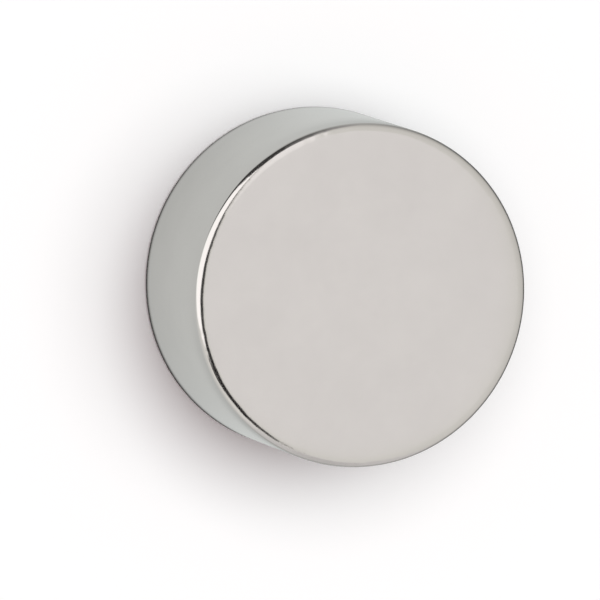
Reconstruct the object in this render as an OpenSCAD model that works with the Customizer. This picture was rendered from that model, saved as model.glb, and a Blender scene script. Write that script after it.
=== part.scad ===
// Disc magnet: a short round bar of sintered magnet alloy, ground flat on both
// pole faces, tumbled until its corners are round, and then nickel plated.
// It is one solid, and its sizes include the plating. The origin is the middle
// of the lower pole face. +Z is the disc's axis and the way it is magnetised.

/* [Disc] */
// Outside diameter
disc_d = 20; // [4:0.5:60]
// Thickness, from one pole face to the other
disc_t = 10; // [1:0.5:40]

/* [Corners] */
// Radius that tumbling leaves on the corner round each pole face
corner_r = 0.3; // [0.05:0.05:0.45]

/* [Hidden] */
$fn = 128;
disc_r = disc_d / 2;

// Half of the disc's section, from the axis outwards
module disc_section() {
    // Pole face to pole face, as far out as the corners begin
    square([disc_r - corner_r, disc_t]);
    // Out to the rim, between the two corners
    translate([0, corner_r])
        square([disc_r, disc_t - 2 * corner_r]);
    // The round of each corner
    for (z = [corner_r, disc_t - corner_r])
        translate([disc_r - corner_r, z])
            circle(r = corner_r);
}

module disc_magnet() {
    color("#CFCAC7")
        rotate_extrude()
            disc_section();
}

disc_magnet();
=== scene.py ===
"""A nickel plated disc magnet lying on a pale board, seen from above through a long lens.

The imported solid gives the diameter, the thickness and the corner's radius. The disc is
turned again here as one finer lathe form, with the crowned faces and the soft, slightly
uneven corners that tumbling leaves.
"""
import math

import bmesh
import bpy
from mathutils import Matrix, Vector, noise


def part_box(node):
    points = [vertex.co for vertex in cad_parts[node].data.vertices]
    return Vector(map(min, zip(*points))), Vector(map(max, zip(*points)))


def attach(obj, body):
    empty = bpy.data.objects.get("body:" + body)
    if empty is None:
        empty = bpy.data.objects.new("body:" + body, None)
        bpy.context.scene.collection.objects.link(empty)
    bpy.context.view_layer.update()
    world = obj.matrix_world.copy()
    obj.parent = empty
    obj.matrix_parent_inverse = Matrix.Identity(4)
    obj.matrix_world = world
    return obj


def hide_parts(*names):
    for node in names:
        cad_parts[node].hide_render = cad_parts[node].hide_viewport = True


MM = 0.001
MICRON = 0.001 * MM

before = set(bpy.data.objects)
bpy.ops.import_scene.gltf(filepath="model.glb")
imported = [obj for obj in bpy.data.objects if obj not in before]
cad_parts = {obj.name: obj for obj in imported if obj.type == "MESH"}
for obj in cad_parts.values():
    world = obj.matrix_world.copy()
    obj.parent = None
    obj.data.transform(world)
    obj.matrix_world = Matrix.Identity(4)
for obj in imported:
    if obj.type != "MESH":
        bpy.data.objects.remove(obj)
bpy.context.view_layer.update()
disc_low, disc_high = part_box("disc_magnet")
disc_r = (disc_high.x - disc_low.x) / 2
disc_middle = (disc_low + disc_high) / 2

# The corner's radius: how far the solid's flat face stops short of the rim
upper_face = [v.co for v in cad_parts["disc_magnet"].data.vertices
              if v.co.z > disc_high.z - MICRON]
corner_r = disc_r - max(v.xy.length for v in upper_face)


# ---------------------------------------------------------------- the view

VIEW_TILT = math.radians(19.2)  # between the disc's axis and the line of sight
VIEW_SIDE = math.radians(259.3)  # where the camera stands, round the disc from +X
VIEW_UP = math.radians(190)  # the view's upright, round the disc from +X
VIEW_DISTANCE = 100 * disc_r
LENS_MM = 1035  # a very long lens: it shows the disc with hardly any perspective
CLIP_START, CLIP_END = 0.01, 10
# How far the disc's middle stands off the view's middle, in disc radii
OFF_RIGHT, OFF_UP = 0.202, 0.079


def on_floor(angle):
    """The level direction at that angle round the disc, from +X towards +Y."""
    return Vector((math.cos(angle), math.sin(angle), 0))


def add_camera():
    to_camera = on_floor(VIEW_SIDE) * math.sin(VIEW_TILT)
    to_camera.z = math.cos(VIEW_TILT)
    upright = on_floor(VIEW_UP)
    up = (upright - to_camera * upright.dot(to_camera)).normalized()
    right = up.cross(to_camera)
    data = bpy.data.cameras.new("camera")
    data.lens = LENS_MM
    data.clip_start = CLIP_START
    data.clip_end = CLIP_END
    camera = bpy.data.objects.new("camera", data)
    bpy.context.scene.collection.objects.link(camera)
    turn = Matrix((right, up, to_camera)).transposed().to_4x4()
    aim = disc_middle - (right * OFF_RIGHT + up * OFF_UP) * disc_r
    camera.matrix_world = Matrix.Translation(aim + to_camera * VIEW_DISTANCE) @ turn
    bpy.context.scene.camera = camera


# ---------------------------------------------------------------- helpers

def linear(hex_colour):
    """An sRGB colour, such as #CFCAC7, as the linear RGBA that Blender works in."""
    channels = [int(hex_colour[i:i + 2], 16) / 255 for i in (1, 3, 5)]
    curve = [c / 12.92 if c <= 0.04045 else ((c + 0.055) / 1.055) ** 2.4 for c in channels]
    return (*curve, 1)


# A mix node's two colours in and its colour out, whose sockets share their names
MIX_FIRST, MIX_SECOND, MIX_RESULT = 6, 7, 2


def add_node(tree, kind, settings=None, inputs=None):
    """Adds a node, sets its properties, and sets or links its sockets."""
    node = tree.nodes.new(kind)
    for name, value in (settings or {}).items():
        setattr(node, name, value)
    for socket, value in (inputs or {}).items():
        if isinstance(value, bpy.types.NodeSocket):
            tree.links.new(value, node.inputs[socket])
        else:
            node.inputs[socket].default_value = value
    return node


def new_material(name):
    material = bpy.data.materials.new(name)
    material.use_nodes = True
    material.node_tree.nodes.clear()
    return material, material.node_tree


def add_object(name, data, material):
    data.materials.append(material)
    piece = bpy.data.objects.new(name, data)
    bpy.context.scene.collection.objects.link(piece)
    return piece


# ---------------------------------------------------------------- the finish

PLATE_COLOURS = ("#CDC8C5", "#D7D2CF")  # from its dullest patches to its brightest
PLATE_HAZE = (0.10, 0.16)  # roughness, from its clearest patches to its haziest
MOTTLE_SIZE = 3 * MM  # patches of slightly brighter and duller plating
# The ripple of bright plating, some 0.05 mm across, drawn coarser so that it shows
PEEL_SIZE = 0.35 * MM
PEEL_DEPTH = 0.0002 * MM


def bright_nickel_plate():
    """Bright nickel over a ground and tumbled alloy: a warm grey mirror, a little hazy."""
    material, tree = new_material("bright_nickel_plate")
    spot = add_node(tree, "ShaderNodeTexCoord").outputs["Object"]
    mottle = add_node(tree, "ShaderNodeTexNoise", {}, {
        "Vector": spot, "Scale": 1 / MOTTLE_SIZE, "Detail": 3, "Roughness": 0.6})
    tone = add_node(tree, "ShaderNodeMix", {"data_type": "RGBA"}, {
        "Factor": mottle.outputs["Fac"],
        MIX_FIRST: linear(PLATE_COLOURS[0]), MIX_SECOND: linear(PLATE_COLOURS[1])})
    haze = add_node(tree, "ShaderNodeMapRange", {}, {
        "Value": mottle.outputs["Fac"], "To Min": PLATE_HAZE[0], "To Max": PLATE_HAZE[1]})
    peel = add_node(tree, "ShaderNodeTexNoise", {}, {
        "Vector": spot, "Scale": 1 / PEEL_SIZE, "Detail": 2, "Roughness": 0.5})
    bump = add_node(tree, "ShaderNodeBump", {}, {
        "Height": peel.outputs["Fac"], "Strength": 1, "Distance": PEEL_DEPTH})
    metal = add_node(tree, "ShaderNodeBsdfPrincipled", {}, {
        "Base Color": tone.outputs[MIX_RESULT], "Metallic": 1, "Roughness": haze.outputs["Result"],
        "Normal": bump.outputs["Normal"]})
    add_node(tree, "ShaderNodeOutputMaterial", {}, {"Surface": metal.outputs["BSDF"]})
    return material


# ---------------------------------------------------------------- the disc

SEGMENTS = 540
CROWN_WIDTH = 1.5 * MM  # the outer part of each face, which tumbling has crowned
CROWN_SLOPE = math.radians(2)  # how steeply the crown falls away at its outer edge
CROWN_STEPS = 8
ROLL_WIDTH = 0.3 * MM  # where the crown gives way to the corner
ROLL_SLOPE = math.radians(14)  # how steeply the face falls away where the corner starts
ROLL_STEPS = 12
ARC_STEPS = 20
# How much tumbling has varied the corner: pitch, in waves to a radius, and share
WAVES = ((4, 0.12), (15, 0.12), (45, 0.05))
# Rings of the mesh: shares of the radius on a face, and of the half height up the wall
FACE_RINGS = (0.2, 0.4, 0.6, 0.75)
WALL_RINGS = (0.66, 0.33)


def corner_points(angle):
    """Inset and drop from the sharp corner, from the flat face round to the wall."""
    across = on_floor(angle)
    wave = 1 + sum(share * noise.noise(across * pitch) for pitch, share in WAVES)
    slope = ROLL_SLOPE * wave
    width = ROLL_WIDTH * wave
    inset = corner_r * (1 - math.sin(slope)) + width + CROWN_WIDTH
    drop = 0
    points = []
    for run, before, after, steps in (
            (CROWN_WIDTH, 0, CROWN_SLOPE, CROWN_STEPS), (width, CROWN_SLOPE, slope, ROLL_STEPS)):
        bend = (math.tan(after) - math.tan(before)) / 2
        for i in range(steps):
            share = i / steps
            fall = run * share * (math.tan(before) + bend * share)
            points.append((inset - run * share, drop + fall))
        inset -= run
        drop += run * (math.tan(before) + bend)
    arc_top = drop - corner_r * (1 - math.cos(slope))
    for i in range(ARC_STEPS + 1):
        turn = slope + (math.pi / 2 - slope) * i / ARC_STEPS
        points.append((corner_r * (1 - math.sin(turn)),
                       arc_top + corner_r * (1 - math.cos(turn))))
    return points


def half_section(angle):
    """Radius and height down the outside, from the upper face's middle to the lower's."""
    upper = [(disc_r * share, disc_high.z) for share in FACE_RINGS]
    upper += [(disc_r - inset, disc_high.z - drop) for inset, drop in corner_points(angle)]
    wall_top = upper[-1][1] - disc_middle.z
    wall = [(disc_r, disc_middle.z + wall_top * share) for share in WALL_RINGS]
    lower = [(radius, 2 * disc_middle.z - height) for radius, height in reversed(upper + wall)]
    return upper + wall + lower


def turned_disc():
    """One smooth closed skin, with a column down the outside at each step round the axis."""
    mesh = bmesh.new()
    columns = []
    for i in range(SEGMENTS):
        angle = 2 * math.pi * i / SEGMENTS
        across = on_floor(angle)
        columns.append([mesh.verts.new((across.x * radius, across.y * radius, height))
                        for radius, height in half_section(angle)])
    upper_pole = mesh.verts.new((0, 0, disc_high.z))
    lower_pole = mesh.verts.new((0, 0, disc_low.z))
    for column, after in zip(columns, columns[1:] + columns[:1]):
        mesh.faces.new((upper_pole, column[0], after[0]))
        for i in range(len(column) - 1):
            mesh.faces.new((column[i], column[i + 1], after[i + 1], after[i]))
        mesh.faces.new((lower_pole, after[-1], column[-1]))
    for face in mesh.faces:
        face.smooth = True
    data = bpy.data.meshes.new("magnet")
    mesh.to_mesh(data)
    mesh.free()
    return add_object("magnet", data, bright_nickel_plate())


# ---------------------------------------------------------------- the studio

# Places in the studio are given round the disc from the view's right, in degrees,
# and out from its axis and up from the board, in disc radii. Levels are shares of white.
VIEW_RIGHT = VIEW_UP - math.pi / 2
FAR = 100  # as good as the horizon

# The lamps and the fill together bring the open board to white
LAMPS = {  # colour, level, and side, height and half-width in degrees
    "top_light": ("#F8FFFF", 0.510, 115, 77, 23),
    "side_light": ("#F0FFFF", 0.296, 14, 73, 21),
}
FILL_COLOURS = ("#FFFFFF", "#FFBABA")  # at the horizon and overhead
FILL_LEVEL = 0.240
BOARD_LIFT = 0.06  # keeps the shadow's core from going heavy
LIFT_COLOUR = "#FFE8E8"

# What the plating shows of the board is a painted glow in place of the lit board: a painted
# shadow from the dark contact line beside the disc out to the open board round it. A pair
# is on the lamps' side, and in their lee.
BOARD_PAINTED_GLOW = "#FBFFFD"
LEE_SIDE = 180
LEE_FULL = 0.75  # the lee is full where the cosine from its side reaches this
PAINTED_CONTACT_SHADE = 0.02
NEAR_LEVELS = (0.70, 0.61)
OPEN_LEVELS = (0.76, 0.70)
OPEN_OUT = 1.22
# The painted dark contact shadow is widest on the lee side, so its circles lie off the axis
CONTACT_MIDDLE = (177, 0.0155)
CONTACT_START, CONTACT_END = 0.9945, 1.0095
# A painted ring of shade, which the top of the wall shows. It is dullest on the ring's side and
# gone across from it, and it starts further out on its outward side.
RING_SIDE, PAINTED_RING_SHADE = 330, 0.73
RING_MIDDLE = (175, 0.21)
RING_START, RING_WIDTH = 1.10, 0.06
RING_OUTWARD_SIDE, RING_OUTWARD = 60, 0.045
# Far out the board's painted glow is bright to the left, even between, and dark to the right. The
# two turns between them are given as cosines from the view's right.
HORIZON_LEVELS = (0.83, 0.56, 0.16)
HORIZON_START, HORIZON_END = 1.3, 2.5
LEFT_TURN, RIGHT_TURN = (-0.9, -0.1), (0.2, 1)
# Further out still, the painted glow goes nearly black to the right
DUSK_LEVEL = 0.01
DUSK_START, DUSK_END = 4.5, 7
# Where the board's glow is painted dark and white for the flag's and the card's feet: most of
# their edges lean as they come nearer
FLAG_FADE, FLAG_EDGE, FLAG_LEAN = (70, 104), (131, 137), 55
FLAG_TURN, FLAG_NEAREST = (105, 130), (5.0, 2.1)  # two sides, and how near it comes there
FLAG_SPREAD = (0.75, 1.25)  # the flag's foot sets in between these shares of its nearest
CARD_EDGE, CARD_LEAN = (132, 136), 87
CARD_END, CARD_END_LEAN = (190, 195), 45
CARD_START, CARD_FULL = 2.3, 3.7
# The board's mesh: close rings at the contact line, and wider and wider ones beyond
BOARD_SIDES = 120
BOARD_INNER = 0.9
CLOSE_START, CLOSE_STEP, CLOSE_COUNT = 0.985, 0.0025, 18
BOARD_GROWTH = 1.12

# The tent overhead, brightest round its axis and darkest away from it
TENT_AXIS = (215, 60)
TENT_LEVELS = (0.32, 1.02)
TENT_COLOUR = "#FEFFFB"

# The levels of the white card, the black flag and the thin black strokes
WHITE = 1.5
DARK = 0.055
BLACK = 0.03
# How high the overhead cards hang: each hides what is above it
PANEL_UP, CARD_UP, BLOOM_UP, GAP_UP, BOOM_UP = 62, 60, 59, 58, 57


def place(side, out, up):
    """The point at that side, that far out from the axis and that far above the board."""
    level = on_floor(VIEW_RIGHT + math.radians(side)) * out
    return (level + Vector((0, 0, up))) * disc_r


def toward(side, height):
    """The direction at that side, in degrees, and that many degrees up."""
    return place(side, math.cos(math.radians(height)), math.sin(math.radians(height))).normalized()


def overhead(right, up, height=CARD_UP):
    """A corner over the disc, at that height: right and up in the view, for a height of 1."""
    side = math.degrees(math.atan2(up, right))
    return (side, math.hypot(right, up) * height, height)


def facing(side, other):
    """1 where the two sides are the same, and -1 where they are opposite."""
    return math.cos(math.radians(side - other))


def clamp(share):
    return min(max(share, 0), 1)


def ramp(value, start, end):
    """0 up to the start, 1 from the end on, and a smooth rise between them."""
    share = clamp((value - start) / (end - start))
    return share * share * (3 - 2 * share)


def blend(first, second, share):
    return first + (second - first) * share


def apart(side, out, middle):
    """How far that place on the board lies from another, in disc radii."""
    return (place(side, out, 0) - place(*middle, 0)).length / disc_r


def painted_shadow_level(side, out):
    """The painted shadow round the disc, duller in the lamps' lee, down to the dark contact line.
    """
    lee = clamp(facing(side, LEE_SIDE) / LEE_FULL)
    near, away = [blend(*levels, lee) for levels in (NEAR_LEVELS, OPEN_LEVELS)]
    gap = ramp(apart(side, out, CONTACT_MIDDLE), CONTACT_START, CONTACT_END)
    return blend(near, away, clamp((out - 1) / (OPEN_OUT - 1))) * blend(PAINTED_CONTACT_SHADE, 1, gap)


def painted_ring_shade(side, out):
    """How much of the painted glow the painted ring of shade leaves."""
    start = RING_START + RING_OUTWARD * facing(side, RING_OUTWARD_SIDE)
    dull = blend(1, PAINTED_RING_SHADE, clamp(1 + facing(side, RING_SIDE)))
    return blend(1, dull, ramp(apart(side, out, RING_MIDDLE), start, start + RING_WIDTH))


def painted_far_glow(side, out):
    """The painted glow far out, from its bright left round to its dark right."""
    left, between, right = HORIZON_LEVELS
    right = blend(right, DUSK_LEVEL, ramp(out, DUSK_START, DUSK_END))
    turn = facing(side, 0)
    return blend(left, blend(between, right, ramp(turn, *RIGHT_TURN)), ramp(turn, *LEFT_TURN))


def painted_board_glow(side, out):
    """The painted glow that the plating shows of the board there, against white: painted shadow,
    painted light and shade far out, and the painted feet of the flag and the card.
    """
    level = painted_shadow_level(side, out) * painted_ring_shade(side, out)
    level = blend(level, painted_far_glow(side, out), ramp(out, HORIZON_START, HORIZON_END))
    # Painted dark where the black flag's foot would stand, and painted white where the white
    # card's would
    flag = ramp(side, *FLAG_FADE) * (1 - ramp(side - FLAG_LEAN / out, *FLAG_EDGE))
    nearest = blend(*FLAG_NEAREST, ramp(side, *FLAG_TURN))
    start, full = [nearest * share for share in FLAG_SPREAD]
    level = blend(level, DARK, flag * ramp(out, start, full))
    card = ramp(side - CARD_LEAN / out, *CARD_EDGE)
    card *= 1 - ramp(side + CARD_END_LEAN / out, *CARD_END)
    return blend(level, WHITE, card * ramp(out, CARD_START, CARD_FULL))


def add_glow(tree, colour):
    """Light of that colour, as strong as the mesh's own level says."""
    level = add_node(tree, "ShaderNodeAttribute", {"attribute_name": "level"})
    return add_node(tree, "ShaderNodeEmission", {}, {
        "Color": linear(colour), "Strength": level.outputs["Fac"]})


def add_levels(data, levels):
    """Gives each corner of the mesh the level that its glow has there."""
    data.attributes.new("level", "FLOAT", "POINT").data.foreach_set("value", levels)


def add_board():
    """A white board. The plating shows not its lit look but a painted glow: a soft grey, down to
    the painted dark contact line.
    """
    material, tree = new_material("pale_board")
    path = add_node(tree, "ShaderNodeLightPath")
    matt = add_node(tree, "ShaderNodeBsdfDiffuse", {}, {"Color": linear("#FFFFFF")})
    lift = add_node(tree, "ShaderNodeMath", {"operation": "MULTIPLY"}, {
        0: path.outputs["Is Camera Ray"], 1: BOARD_LIFT})
    core = add_node(tree, "ShaderNodeEmission", {}, {
        "Color": linear(LIFT_COLOUR), "Strength": lift.outputs["Value"]})
    lit = add_node(tree, "ShaderNodeAddShader", {}, {0: matt.outputs[0], 1: core.outputs[0]})
    # Glossy rays see the painted glow in place of the lit board
    seen = add_node(tree, "ShaderNodeMixShader", {}, {
        "Fac": path.outputs["Is Glossy Ray"], 1: lit.outputs[0],
        2: add_glow(tree, BOARD_PAINTED_GLOW).outputs[0]})
    add_node(tree, "ShaderNodeOutputMaterial", {}, {"Surface": seen.outputs[0]})
    rings = [BOARD_INNER]
    rings += [CLOSE_START + CLOSE_STEP * i for i in range(CLOSE_COUNT)]
    while rings[-1] < 2 * FAR:
        rings.append(1 + (rings[-1] - 1) * BOARD_GROWTH)
    sides = [360 * i / BOARD_SIDES for i in range(BOARD_SIDES)]
    spots = [place(side, out, 0) for out in rings for side in sides]
    faces = [range(BOARD_SIDES)]
    for ring in range(len(rings) - 1):
        for i in range(BOARD_SIDES):
            first, after = ring * BOARD_SIDES + i, ring * BOARD_SIDES + (i + 1) % BOARD_SIDES
            faces.append((first, first + BOARD_SIDES, after + BOARD_SIDES, after))
    data = bpy.data.meshes.new("floor")
    data.from_pydata(spots, [], faces)
    add_levels(data, [painted_board_glow(side, out) for out in rings for side in sides])
    add_object("floor", data, material)


def add_tent():
    """White to the camera, a pink fill from overhead, and a leaning tent in the plating."""
    world = bpy.data.worlds.new("tent")
    world.use_nodes = True
    tree = world.node_tree
    tree.nodes.clear()
    path = add_node(tree, "ShaderNodeLightPath")
    direction = add_node(tree, "ShaderNodeTexCoord").outputs["Generated"]
    lean = add_node(tree, "ShaderNodeVectorMath", {"operation": "DOT_PRODUCT"}, {
        0: direction, 1: toward(*TENT_AXIS)})
    level = add_node(tree, "ShaderNodeMapRange", {}, {
        "Value": lean.outputs["Value"], "From Min": -1, "From Max": 1,
        "To Min": TENT_LEVELS[0], "To Max": TENT_LEVELS[1]})
    cloth = add_node(tree, "ShaderNodeBackground", {}, {
        "Color": linear(TENT_COLOUR), "Strength": level.outputs["Result"]})
    height = add_node(tree, "ShaderNodeSeparateXYZ", {}, {0: direction})
    warmth = add_node(tree, "ShaderNodeMix", {"data_type": "RGBA"}, {
        "Factor": height.outputs["Z"],
        MIX_FIRST: linear(FILL_COLOURS[0]), MIX_SECOND: linear(FILL_COLOURS[1])})
    fill = add_node(tree, "ShaderNodeBackground", {}, {
        "Color": warmth.outputs[MIX_RESULT], "Strength": FILL_LEVEL})
    bare = add_node(tree, "ShaderNodeBackground", {}, {"Color": linear("#FFFFFF"), "Strength": 1})
    lit = add_node(tree, "ShaderNodeMixShader", {}, {
        "Fac": path.outputs["Is Glossy Ray"], 1: fill.outputs[0], 2: cloth.outputs[0]})
    through = add_node(tree, "ShaderNodeMath", {"operation": "MAXIMUM"}, {
        0: path.outputs["Is Camera Ray"], 1: path.outputs["Is Transmission Ray"]})
    seen = add_node(tree, "ShaderNodeMixShader", {}, {
        "Fac": through.outputs["Value"], 1: lit.outputs[0], 2: bare.outputs[0]})
    add_node(tree, "ShaderNodeOutputWorld", {}, {"Surface": seen.outputs[0]})
    bpy.context.scene.world = world


def add_lamp(name, colour, level, side, height, half_width):
    """A wide soft light far off, which the plating never shows."""
    data = bpy.data.lights.new(name, "SUN")
    data.angle = 2 * math.radians(half_width)
    data.energy = level * math.pi / math.sin(math.radians(height))
    data.color = linear(colour)[:3]
    lamp = bpy.data.objects.new(name, data)
    bpy.context.scene.collection.objects.link(lamp)
    lamp.rotation_euler = toward(side, height).to_track_quat("Z", "Y").to_euler()
    lamp.visible_glossy = False


def add_card(name, rungs):
    """A card that only reflections show, along rungs of a level and two corners each."""
    material, tree = new_material(name)
    paper = add_glow(tree, "#FFFFFF")
    add_node(tree, "ShaderNodeOutputMaterial", {}, {"Surface": paper.outputs[0]})
    material.cycles.emission_sampling = "NONE"
    corners = [place(*corner) for rung in rungs for corner in rung[1:]]
    faces = [(i, i + 1, i + 3, i + 2) for i in range(0, len(corners) - 2, 2)]
    data = bpy.data.meshes.new(name)
    data.from_pydata(corners, [], faces)
    add_levels(data, [rung[0] for rung in rungs for corner in rung[1:]])
    card = add_object(name, data, material)
    for sort in ("camera", "diffuse", "transmission", "volume_scatter", "shadow"):
        setattr(card, "visible_" + sort, False)


# Every card lights nothing and shows only in the plating: a painted reflection, bright or dark
CARDS = {
    # The long highlight down the left of the corner
    "white_card": [
        (WHITE, (193, FAR, 0), (134, FAR, 0)),
        (WHITE, overhead(-0.45, -0.36), overhead(-0.45, 0.80)),
        (WHITE, overhead(-0.155, -0.20), overhead(-0.12, 0.45)),
    ],
    # The black stroke beyond the highlight's upper end, fading out to the right
    "black_flag": [
        (DARK, (134, FAR, 0), overhead(-0.12, 0.44)),
        (DARK, (104, FAR, 0), overhead(-0.09, 0.46)),
        (0.22, (88, FAR, 0), overhead(-0.03, 0.50)),
        (0.50, (72, FAR, 0), overhead(0.06, 0.58)),
    ],
    # The thin black line along the highlight's inner side
    "dark_gap": [
        (BLACK, overhead(-0.08, 0.30, GAP_UP), overhead(-0.06, 0.30, GAP_UP)),
        (BLACK, overhead(-0.10, 0.12, GAP_UP), overhead(-0.01, 0.10, GAP_UP)),
        (BLACK, overhead(-0.15, 0.0, GAP_UP), overhead(0.05, -0.05, GAP_UP)),
        (0, overhead(-0.20, -0.12, GAP_UP), overhead(0.05, -0.12, GAP_UP)),
        (BLACK, overhead(-0.16, -0.22, GAP_UP), overhead(0.02, -0.19, GAP_UP)),
        (0, overhead(-0.20, -0.30, GAP_UP), overhead(0.16, -0.37, GAP_UP)),
        (0, overhead(-0.30, -0.50, GAP_UP), overhead(0.16, -0.51, GAP_UP)),
    ],
    # The black stroke below the highlight's lower end
    "boom": [
        (BLACK, overhead(-0.06, -0.24, BOOM_UP), overhead(-0.06, -0.46, BOOM_UP)),
        (BLACK, overhead(-0.88, -0.62, BOOM_UP), overhead(-0.75, -0.84, BOOM_UP)),
    ],
    # The duller stretch along the bottom of the corner
    "grey_card": [
        (0.93, (236, FAR, 0), overhead(0.0, -0.56)),
        (0.68, (275, FAR, 0), overhead(0.24, -0.56)),
        (0.80, (308, FAR, 0), overhead(0.50, -0.60)),
    ],
    # The pale bloom on the face inside the upper left of the corner
    "bloom": [
        (0.88, overhead(-0.04, 0.60, BLOOM_UP), overhead(0.20, 0.52, BLOOM_UP)),
        (1.22, overhead(-0.01, 0.40, BLOOM_UP), overhead(0.22, 0.34, BLOOM_UP)),
        (1.22, overhead(0.03, 0.14, BLOOM_UP), overhead(0.24, 0.12, BLOOM_UP)),
        (1.15, overhead(0.12, 0.0, BLOOM_UP), overhead(0.27, -0.02, BLOOM_UP)),
    ],
    # What the flat of the face shows
    "top_panel": [
        (1.0, overhead(0.18, 0.12, PANEL_UP), overhead(0.41, 0.12, PANEL_UP)),
        (1.0, overhead(0.18, -0.21, PANEL_UP), overhead(0.41, -0.21, PANEL_UP)),
    ],
}


# ---------------------------------------------------------------- the making

add_camera()
add_board()
add_tent()
for name, setting in LAMPS.items():
    add_lamp(name, *setting)
for name, rungs in CARDS.items():
    add_card(name, rungs)

magnet = turned_disc()
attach(magnet, "root")
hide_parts("disc_magnet")

# Keeps the light that the plating throws down out of the board's soft shadow
bpy.context.scene.cycles.caustics_reflective = False
bpy.context.scene.view_settings.view_transform = "Standard"
